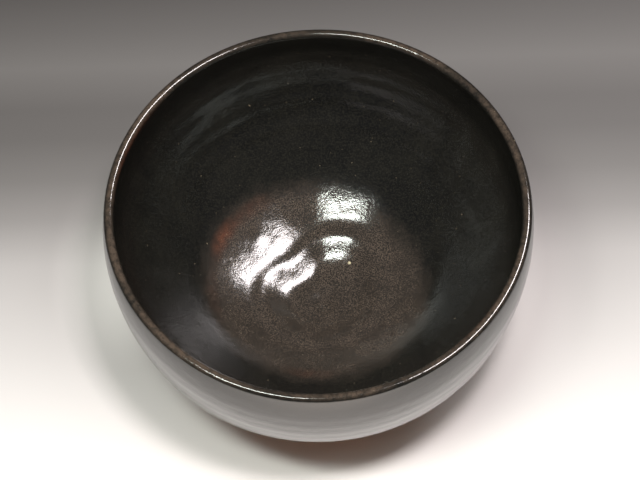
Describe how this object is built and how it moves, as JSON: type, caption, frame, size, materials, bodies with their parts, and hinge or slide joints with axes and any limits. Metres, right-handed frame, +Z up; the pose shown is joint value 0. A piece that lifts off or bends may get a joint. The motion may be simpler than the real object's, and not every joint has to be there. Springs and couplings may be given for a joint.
{
  "type": "matcha bowl",
  "caption": "Round-bellied tea bowl with a rolled lip, a shallow tea pool in the floor and a turned foot ring, in black iron glaze over bare stoneware.",
  "frame": {"origin": "centre of the foot ring's resting face, on the table", "axes": "+Z up along the bowl's axis of rotation; X and Y are horizontal, and -Y is the side that faces the drinker"},
  "size_m": [0.122, 0.122, 0.072],
  "materials": {
    "bare_clay": "matt",
    "foot_clay": "matt",
    "wall_glaze": "gloss",
    "lip_glaze": "gloss",
    "inside_glaze": "gloss",
    "pool_glaze": "gloss"
  },
  "bodies": {
    "root": {"clay_body": "bare_clay", "foot_ring": "foot_clay", "outer_glaze": "wall_glaze", "lip_glaze": "lip_glaze", "inner_glaze": "inside_glaze", "tea_pool_glaze": "pool_glaze"}
  },
  "joints": []
}
